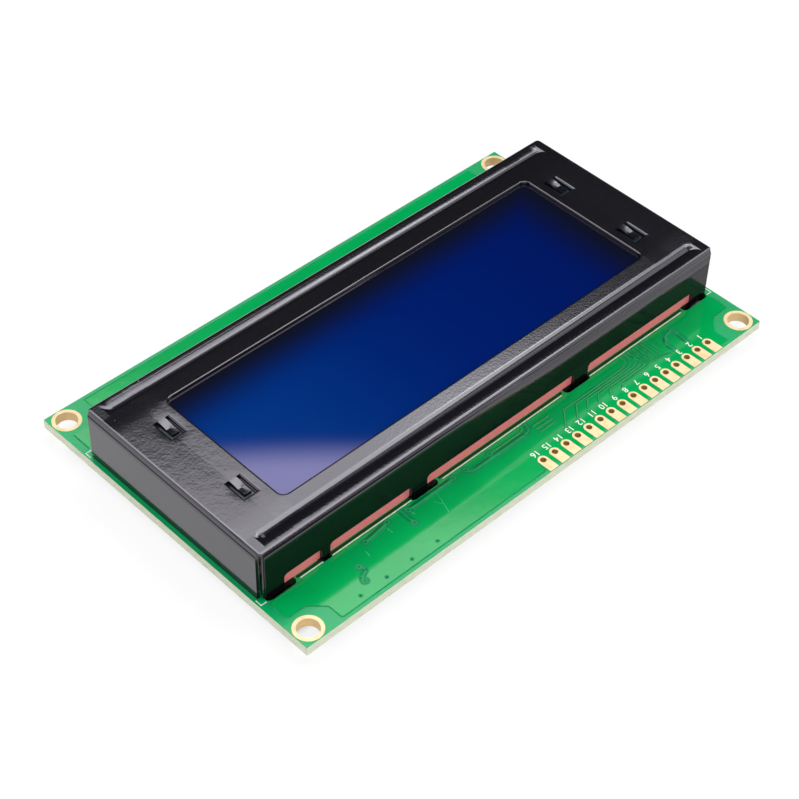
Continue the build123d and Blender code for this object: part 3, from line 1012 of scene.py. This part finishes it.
@dataclass
class Studio:
    """The floor, the light tent and the camera at the photograph's viewing angle."""

    camera_at: Vector = Vector((0.162517, 0.161687, 0.223640))
    camera_forward: Vector = Vector((-0.4995, -0.5052, -0.7038))
    camera_right: Vector = Vector((-0.72298, 0.69065, 0.01736))
    lens: float = 91.42
    sensor: float = 36.0
    floor_half: float = 3.0
    floor_glow: float = 0.85
    shade_half_l: float = 47.0
    shade_half_w: float = 24.5
    shade_soft: float = 1.5
    # painted shadow: the floor's colour right under the part
    shade_tone: Colour = (0.03, 0.03, 0.03)
    floor_tone: Colour = (0.93, 0.93, 0.93)
    floor_light_tone: Colour = (0.95, 0.95, 0.95)
    dark: float = 0.008
    panels: tuple[Panel, ...] = (
        Panel(165.0, 290.0, 46.25, 54.0, 3.2, edge_soft=1.0),
        Panel(140.0, 290.0, 54.0, 68.0, 5.0, edge_soft=3.0),
        Panel(205.0, 219.0, 48.6, 53.0, 7.0, side_soft=6.0, edge_soft=1.6),
        Panel(-90.0, 450.0, 68.0, 120.0, 1.3, edge_soft=6.0),
        Panel(296.0, 335.0, -30.0, 47.0, 1.65),
        Panel(127.0, 168.0, -30.0, 47.0, 1.5),
        Panel(20.0, 92.0, 10.0, 62.0, 1.9),
        Panel(-90.0, 450.0, -120.0, 3.0, 0.8, edge_soft=6.0),
    )

    def build(self) -> None:
        """Builds the whole studio."""
        self.camera()
        self.floor()
        self.world()

    def camera(self) -> None:
        """Makes the camera and sets it as the scene's."""
        data = bpy.data.cameras.new("camera")
        data.sensor_width = self.sensor
        data.sensor_fit = "HORIZONTAL"
        data.lens = self.lens
        data.clip_start = 0.01
        camera = in_scene("camera", data)
        back = -self.camera_forward.normalized()
        right = self.camera_right.normalized()
        up = back.cross(right).normalized()
        right = up.cross(back)
        turn = Matrix((right, up, back)).transposed()
        camera.matrix_world = Matrix.Translation(self.camera_at) @ turn.to_4x4()
        bpy.context.scene.camera = camera

    def floor(self) -> None:
        """Makes the white floor: it glows to the eye and still takes the part's shadow.

        Right under the part it is painted near black, a painted shadow, so that it doesn't light the
        slots in the board.
        """
        shape = bmesh.new()
        bmesh.ops.create_grid(shape, x_segments=1, y_segments=1, size=self.floor_half)
        floor = mesh_piece("floor", shape)
        f = Finish("pale_floor")
        tone = f.mix(f.noise(60.0, 2.0), self.floor_tone, self.floor_light_tone)
        glow = f.sheet.node("ShaderNodeEmission", feeds={"Strength": 1.0})
        seen = [f.sheet.node("ShaderNodeLightPath", output=f"Is {kind} Ray")
                for kind in ("Camera", "Glossy", "Transmission")]
        soft = self.shade_soft
        past_x = abs(f.axis("X")).ramp(self.shade_half_l - soft, self.shade_half_l + soft)
        past_y = abs(f.axis("Y")).ramp(self.shade_half_w - soft, self.shade_half_w + soft)
        open_floor = past_x.either(past_y)
        share = (seen[0] + seen[1] + seen[2]).within(0.0, 1.0) * open_floor * self.floor_glow
        # painted shadow: near-black floor under the part, the white tone beyond
        feeds = {"Color": f.mix(open_floor, self.shade_tone, tone)}
        matt = f.sheet.node("ShaderNodeBsdfDiffuse", feeds=feeds)
        floor.data.materials.append(f.end(f.blend(share, matt, glow)))

    def world(self) -> None:
        """Makes the light tent: soft panels round a dark room, with a pale horizon."""
        world = bpy.data.worlds.new("light_tent")
        world.use_nodes = True
        world.node_tree.nodes.clear()
        sheet = NodeSheet(world.node_tree)
        direction = sheet.node("ShaderNodeTexCoord", output="Generated")
        x, y, z = (
            sheet.node("ShaderNodeSeparateXYZ", feeds={0: direction}, output=axis) for axis in "XYZ"
        )
        heading = (y * -1.0).maths("ARCTAN2", x * -1.0) * math.degrees(1.0) + 180.0
        rise = z.within(-1.0, 1.0).maths("ARCSINE") * math.degrees(1.0)
        strength = sum((panel.glow(heading, rise) for panel in self.panels), start=self.dark)
        feeds = {"Color": (1.0, 1.0, 1.0), "Strength": strength}
        light = sheet.node("ShaderNodeBackground", feeds=feeds)
        sheet.node("ShaderNodeOutputWorld", feeds={"Surface": light})
        bpy.context.scene.world = world


def bus_routes() -> list[list[Point]]:
    """The six lines from the header's middle, down a slope, along the bezel and in under it."""
    routes = []
    starts = ((-8.3, 25.1), (-11.0, 25.1), (-13.6, 24.9), (-16.1, 24.9), (-18.6, 25.1), (-21.2, 25.2))
    for row, (x, y) in enumerate(starts):
        low = 22.2 + 0.48 * row
        turn = x - (y - low) * 0.9
        end = -24.4 - 0.75 * row
        past = end - 1.5
        under = (past - 0.2 * row, OVER_BEZEL_Y)
        routes.append([(x, y), (turn, low), (end, low), (past, low - 0.75), under])
    return routes


def fan_routes() -> list[list[Point]]:
    """Fine parallel lines that rise from the bezel to the last pins of the header."""
    return [[(x, OVER_BEZEL_Y), (x, 22.6 + 0.25 * k), (x - 1.1, 24.3 + 0.15 * k)]
            for k, x in enumerate(-27.6 - 0.62 * step for step in range(8))]


def front_artwork(face_z: float) -> Artwork:
    """The tracks, vias, scuffs and printed lines on the board's front, outside the bezel, and strips of
    painted shadow along the foot of its long walls.

    Args:
        face_z: the height of the board's front face, in metres.

    Returns:
        The artwork.
    """
    link = [(33.75, 24.1), (33.45, 24.75), (33.7, 25.35), (34.7, 25.7), (35.0, 26.2), (34.9, 26.55)]
    dumbbell = [(29.95, 21.35), (25.0, 20.65)]
    drop = [(22.1, 20.2), (22.1, 23.4)]
    level = [(21.1, 21.0), (11.8, 21.0)]
    loop = [(9.2, 21.05), (9.0, 21.6), (8.4, 21.9), (-3.2, 21.9), (-4.0, 21.3), (-4.2, 20.4)]
    inner = [(4.2, 21.1), (-2.6, 21.1), (-3.2, 20.5)]
    hook = [(-33.75, 25.1), (-33.75, 23.3), (-34.9, 22.0), (-35.8, 21.75), (-36.9, 21.6), (-36.9, 22.6),
            (-36.7, 25.1)]
    comb = [[(-4.8, y), (-8.2, y)] for y in (21.5, 22.3, 23.1)]
    vias = [link[0], link[-1], *dumbbell, drop[-1], *level, loop[0], inner[0]]
    bottom_vias = [(37.2, 28.15), (32.15, 28.15), (27.2, 28.2), (22.1, 28.2)]
    borders = [
        [(41.2, 20.5), (47.3, 20.5), (47.6, 20.8), (47.6, 24.0), (47.3, 24.25), (44.2, 24.25),
         (43.6, 24.8), (41.8, 26.5), (41.75, 29.0), (41.5, 29.3), (0.7, 29.3), (0.4, 29.0), (0.4, 26.9)],
        [(-43.3, 25.0), (-44.4, 24.2), (-47.2, 24.2), (-47.6, 23.8), (-47.6, 20.8)],
        [(-32.9, 20.3), (-32.9, 23.4)],
        [(47.6, -24.25), (47.6, -20.6)], [(-47.6, -24.25), (-47.6, -20.6)],
        [(43.6, -24.9), (41.8, -26.6), (41.8, -29.3), (-41.8, -29.3), (-41.8, -26.6), (-43.6, -24.9)],
    ]
    spans = ((41.1, 36.9), (35.0, 19.4), (12.9, -12.9), (-19.4, -41.1))
    both = [(side, *span) for side in (-1, 1) for span in spans]
    # painted shadow strips along the foot of the bezel's long walls, between its tabs
    shaded_y, past = 19.5, 0.3
    silk = [[(start, side * BEZEL_LINE_Y), (end, side * BEZEL_LINE_Y)] for side, start, end in both]
    under_wall = [[(start + past, side * shaded_y), (end - past, side * shaded_y)]
                  for side, start, end in both]
    silk += [[(sx * 47.7, sy * 20.0), (sx * 48.6, sy * 20.0), (sx * 48.6, sy * 18.9)]
             for sx in (-1, 1) for sy in (-1, 1)]
    scuffs = [[(15.5, 20.8), (16.0, 22.6), (16.9, 25.2)], [(25.8, 21.6), (25.75, 22.6)],
              [(31.1, 22.6), (31.2, 23.6)], [(21.0, 21.5), (20.9, 22.2)], [(17.1, 22.4), (16.5, 23.6)]]
    wide = [link, dumbbell, drop, level, loop, hook]
    bright = [[(x, 26.8), (x, 25.6)] for x in (-3.4, -5.9, -8.4, -11.0, -13.5, -16.1)]
    return Artwork(Side.FRONT, face_z, [
        Lines("track_gaps", Shade.GAP, 1.05, 0.004, wide),
        Lines("fine_track_gaps", Shade.GAP, 0.42, 0.006, [inner, *comb, *bus_routes()]),
        Lines("fan_track_gaps", Shade.BORDER, 0.42, 0.006, fan_routes()),
        Lines("copper_borders", Shade.BORDER, 0.26, 0.008, borders),
        Dots("via_gaps", Shade.GAP, 0.78, 0.005, vias),
        Dots("dark_vias", Shade.GAP, 0.36, 0.007, bottom_vias),
        Lines("tracks", Shade.TRACK, 0.34, 0.024, wide),
        Lines("fine_tracks", Shade.BRIGHT, 0.16, 0.02, [inner, *comb, *bus_routes()]),
        Lines("fan_tracks", Shade.TRACK, 0.18, 0.021, fan_routes()),
        Lines("bright_tracks", Shade.BRIGHT, 0.24, 0.022, bright),
        Dots("vias", Shade.TRACK, 0.42, 0.028, vias),
        Dots("via_holes", Shade.HOLE, 0.17, 0.032, vias + bottom_vias),
        Lines("scuffs", Shade.SCUFF, 0.1, 0.01, scuffs),
        # painted shadow along the bezel's walls
        Lines("shaded_strips", Shade.SHADE, 0.44, 0.006, under_wall),
        Lines("printed_lines", Shade.INK, 0.16, 0.012, silk),
    ])


def back_artwork(face_z: float) -> Artwork:
    """A plain routing of tracks on the board's back, from the header to the chips.

    Args:
        face_z: the height of the board's back face, in metres.

    Returns:
        The artwork.
    """
    first_x, slant, gap = -5.88, 1.6, 0.6
    slot_x, slot_y, slot_gap = -20.2, 21.3, 0.7
    fine: list[list[Point]] = []
    for row in range(8):
        x, y = first_x - row * PITCH, 15.2 + gap * row
        start = [(x, 26.4)]
        if 3 <= row <= 6:  # these go round the slot of a bezel tab
            beside = slot_gap * (row - 3)
            start.append((x, slot_y + beside))
            x = slot_x - beside
            start.append((x, slot_y + beside))
        end = -26.0 - gap * row
        fine.append([*start, (x, y + slant), (x - slant, y), (end, y), (end - 2.0, 13.0)])
    for row in range(6):
        y = -1.6 + 0.75 * row
        fine.append([(-17.0, y), (-9.0, y), (-5.4, y - 3.4)])
        fine.append([(11.0, y - 4.0), (15.0, y - 4.0), (20.0, y + 1.0)])
    tracks = [[(-31.0 + 3.0 * row, -12.2), (-31.0 + 3.0 * row, -8.6)] for row in range(6)]
    vias = [(11.5, 13.2), (17.0, 13.2), (22.5, 13.2), (-13.5, 12.0), (-2.0, 6.5), (3.0, 6.5), (8.0, 6.5),
            (35.0, -9.0), (38.0, -12.0), (38.0, 12.0), (-40.0, 9.0), (-40.0, 3.0), (-40.0, -3.0)]
    silk = [[(sx * 41.0, sy * BEZEL_LINE_Y), (sx * 22.0, sy * BEZEL_LINE_Y)]
            for sx in (-1, 1) for sy in (-1, 1)]
    return Artwork(Side.BACK, face_z, [
        Lines("track_gaps", Shade.GAP, 1.05, 0.004, tracks),
        Lines("fine_track_gaps", Shade.GAP, 0.5, 0.006, fine),
        Dots("via_gaps", Shade.GAP, 0.78, 0.005, vias),
        Lines("tracks", Shade.TRACK, 0.34, 0.024, tracks),
        Lines("fine_tracks", Shade.TRACK, 0.2, 0.02, fine),
        Dots("vias", Shade.TRACK, 0.42, 0.028, vias),
        Dots("via_holes", Shade.HOLE, 0.17, 0.032, vias),
        Lines("printed_lines", Shade.INK, 0.2, 0.012, silk),
    ])


def dress_all(frame: dict) -> None:
    """Dresses the CAD pieces, those that the front shows first, then the layers inside and the back."""
    pad = GoldPlating("gold_pad", in_hole=(0.52, 0.31, 0.08))
    white = Plain("white_plastic", (0.84, 0.85, 0.82), (0.78, 0.79, 0.76), 0.4)
    film = Plain("white_film", (0.90, 0.90, 0.90), (0.86, 0.87, 0.88), 0.3, 4.0)
    acrylic = Plain("clear_acrylic", (0.78, 0.83, 0.84), (0.74, 0.80, 0.82), 0.08, 6.0, 0.5, 0.001)
    rear = Plain("rear_film", (0.02, 0.03, 0.05), (0.03, 0.04, 0.07), 0.12, 5.0, 0.5, 0.001)
    lamp_board = Plain("lamp_board", (0.82, 0.84, 0.80), (0.76, 0.79, 0.74), 0.35)
    phosphor = Plain("lamp_phosphor", (0.86, 0.74, 0.30), (0.80, 0.66, 0.22), 0.3, 0.8)
    tin = Metal("tin", (0.72, 0.72, 0.70), (0.52, 0.52, 0.50), 0.28, 1.0, 0.3)
    glaze = Plain("resistor_glaze", (0.012, 0.012, 0.014), (0.03, 0.03, 0.033), 0.25, 0.6)
    ceramic = Plain("capacitor_ceramic", (0.44, 0.31, 0.19), (0.36, 0.25, 0.15), 0.45, 0.5)
    tinned = ("backlight_leads", "lead_solder", "resistor_terminals", "capacitor_terminals",
              "chip_solder")
    looks = (
        (SolderMask(), "board"),
        (BlackPaint(), "bezel"),
        (BlueWindow(), "front_polarizer"),
        (CellGlass(), "front_glass", "rear_glass"),
        (PinkRubber(), "elastomer_strip_header_side", "elastomer_strip_far_side"),
        (GoldPlating("gold_ring"), "mounting_rings"),
        (pad, "header_pads"),
        (white, "backlight_frame"),
        (film, "reflector_sheet", "diffuser_sheet"),
        (acrylic, "light_guide"),
        (rear, "rear_polarizer"),
        (lamp_board, "led_board"),
        (phosphor, "led_chips"),
        (tin, *tinned),
        (glaze, "chip_resistors"),
        (ceramic, "chip_capacitors"),
    )
    for look, *nodes in looks:
        dress(frame, nodes, look.material())


def main() -> None:
    """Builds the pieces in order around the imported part."""
    logging.basicConfig(level=logging.INFO, format="%(name)s %(message)s")
    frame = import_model()
    bpy.context.scene.view_settings.view_transform = "Standard"
    Studio().build()
    dress_all(frame)
    low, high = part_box("board")
    shades = {shade: shade.material() for shade in Shade}
    front_artwork(high.z).build(shades)
    back_artwork(low.z).build(shades)
    PinNumbers(face_z=high.z).build(shades[Shade.INK])
    epoxy = Plain("black_epoxy", (0.010, 0.010, 0.011), (0.022, 0.022, 0.023), 0.32, 2.5, 0.6, 0.01)
    EpoxyGlobs().build(epoxy.material())


if __name__ == "__main__":
    main()
